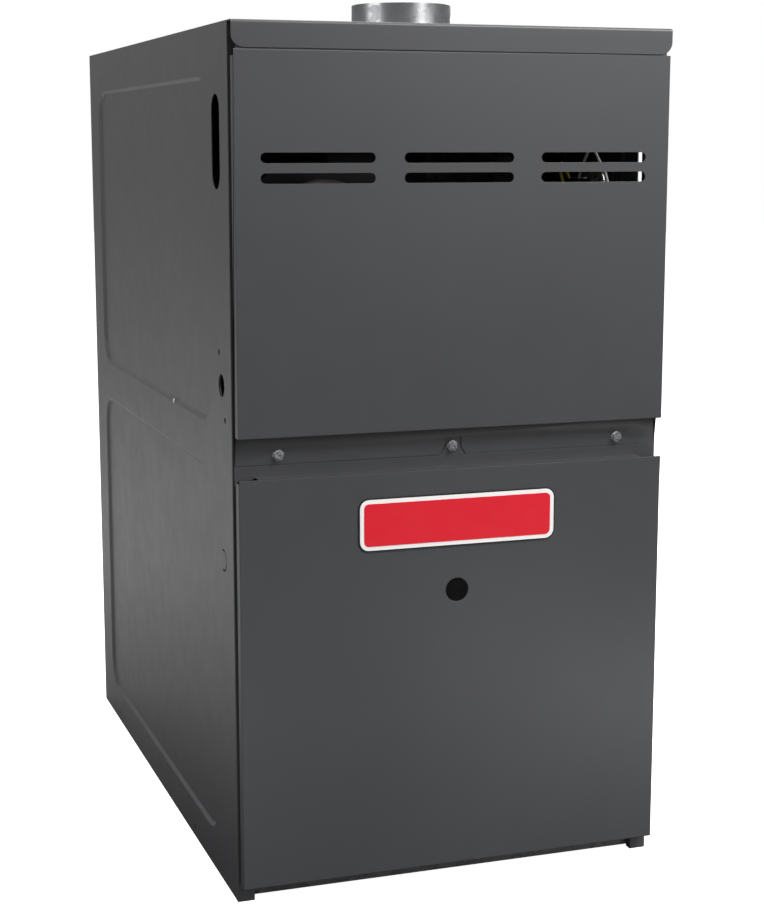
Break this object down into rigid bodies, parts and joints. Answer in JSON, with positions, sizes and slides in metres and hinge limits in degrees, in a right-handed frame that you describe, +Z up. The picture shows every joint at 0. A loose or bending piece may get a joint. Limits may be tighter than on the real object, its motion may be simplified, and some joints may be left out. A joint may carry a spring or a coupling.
{
  "type": "forced air gas furnace",
  "caption": "Upflow forced air gas furnace: a sheet steel cabinet with two lift-off doors round burners, tubular heat exchanger, induced draft fan, blower and controls.",
  "frame": {"origin": "on the floor under the middle of the cabinet, doors included", "axes": "+Z up, the doors face -Y, +X is to the right of someone who faces the doors"},
  "size_m": [0.4444, 0.7282, 0.8757],
  "materials": {
    "charcoal_paint": "satin charcoal grey baked enamel",
    "galvanised_steel": "galvanised sheet with fine spangle",
    "aluminised_steel": "dull aluminised tube, slightly heat tinted",
    "black_paint": "semi-gloss black enamel",
    "motor_paint": "warm grey primer on a motor shell",
    "shaft_steel": "ground steel",
    "black_plastic": "moulded, matt",
    "black_iron": "black pipe with mill scale",
    "valve_aluminium": "die cast, fine grain",
    "brass": "turned",
    "ceramic": "unglazed white ceramic",
    "red_plastic": "moulded",
    "hose_rubber": "soft grey silicone",
    "white_insulation": "smooth wire insulation",
    "yellow_insulation": "smooth wire insulation",
    "board_laminate": "green solder resist",
    "core_steel": "varnished laminations",
    "can_aluminium": "drawn can",
    "white_plastic": "moulded",
    "clear_glass": "clear",
    "zinc_screw": "bright zinc"
  },
  "bodies": {
    "root": {"cabinet_wrapper": "charcoal_paint", "top_plate": "charcoal_paint", "flue_collar": "galvanised_steel", "base_pan": "galvanised_steel", "blower_deck": "charcoal_paint", "vestibule_panel": "galvanised_steel", "heat_tube_left": "aluminised_steel", "heat_tube_middle": "aluminised_steel", "heat_tube_right": "aluminised_steel", "heat_exchanger_support": "galvanised_steel", "collector_box": "galvanised_steel", "inducer_housing": "black_paint", "inducer_transition": "black_paint", "inducer_motor": "motor_paint", "burner_left": "aluminised_steel", "burner_middle": "aluminised_steel", "burner_right": "aluminised_steel", "burner_rack": "galvanised_steel", "gas_manifold": "black_iron", "gas_orifice_left": "brass", "gas_orifice_middle": "brass", "gas_orifice_right": "brass", "gas_valve_body": "valve_aluminium", "igniter": "ceramic", "flame_sensor": "ceramic", "rollout_switch_left": "black_plastic", "rollout_switch_right": "black_plastic", "limit_switch": "black_plastic", "pressure_switch": "galvanised_steel", "pressure_hose": "hose_rubber", "white_lead": "white_insulation", "yellow_lead": "yellow_insulation", "junction_box": "galvanised_steel", "junction_box_cover": "galvanised_steel", "blower_housing": "galvanised_steel", "blower_motor": "black_paint", "motor_mount": "galvanised_steel", "capacitor": "can_aluminium", "control_bracket": "galvanised_steel", "control_board": "board_laminate", "transformer": "core_steel", "door_switch_body": "black_plastic"},
    "upper_door": {"upper_door": "charcoal_paint", "door_screw_left": "zinc_screw", "door_screw_right": "zinc_screw"},
    "lower_door": {"lower_door": "charcoal_paint", "sight_glass": "clear_glass", "door_screw_centre": "zinc_screw"},
    "blower_rotor": {"blower_wheel": "galvanised_steel", "blower_shaft": "shaft_steel"},
    "inducer_rotor": {"inducer_wheel": "aluminised_steel", "inducer_shaft": "shaft_steel", "inducer_cooling_fan": "black_plastic"},
    "gas_valve_knob": {"gas_valve_knob": "black_plastic"},
    "door_switch_plunger": {"door_switch_plunger": "white_plastic"},
    "reset_button_left": {"reset_button_left": "red_plastic"},
    "reset_button_right": {"reset_button_right": "red_plastic"}
  },
  "joints": [
    {"name": "upper_door_swing", "type": "hinge", "parent": "root", "child": "upper_door", "pos_m": [0, -0.3629, 0.8227], "axis": [-1, 0, 0], "range_deg": [0, 30]},
    {"name": "lower_door_pull", "type": "slide", "parent": "root", "child": "lower_door", "axis": [0, -1, 0], "range_m": [0, 0.3]},
    {"name": "blower_spin", "type": "hinge", "parent": "root", "child": "blower_rotor", "pos_m": [0, 0.06, 0.23], "axis": [1, 0, 0], "continuous": true},
    {"name": "inducer_spin", "type": "hinge", "parent": "root", "child": "inducer_rotor", "pos_m": [-0.105, -0.2, 0.657], "axis": [0, 1, 0], "continuous": true},
    {"name": "gas_valve_turn", "type": "hinge", "parent": "root", "child": "gas_valve_knob", "pos_m": [0.063, -0.35, 0.579], "axis": [0, 1, 0], "range_deg": [0, 90]},
    {"name": "door_switch_press", "type": "slide", "parent": "root", "child": "door_switch_plunger", "axis": [0, 1, 0], "range_m": [0, 0.004], "stiffness_N_per_m": 300},
    {"name": "reset_left_press", "type": "slide", "parent": "root", "child": "reset_button_left", "axis": [0, 0, -1], "range_m": [0, 0.0015], "stiffness_N_per_m": 600},
    {"name": "reset_right_press", "type": "slide", "parent": "root", "child": "reset_button_right", "axis": [0, 0, -1], "range_m": [0, 0.0015], "stiffness_N_per_m": 600}
  ]
}
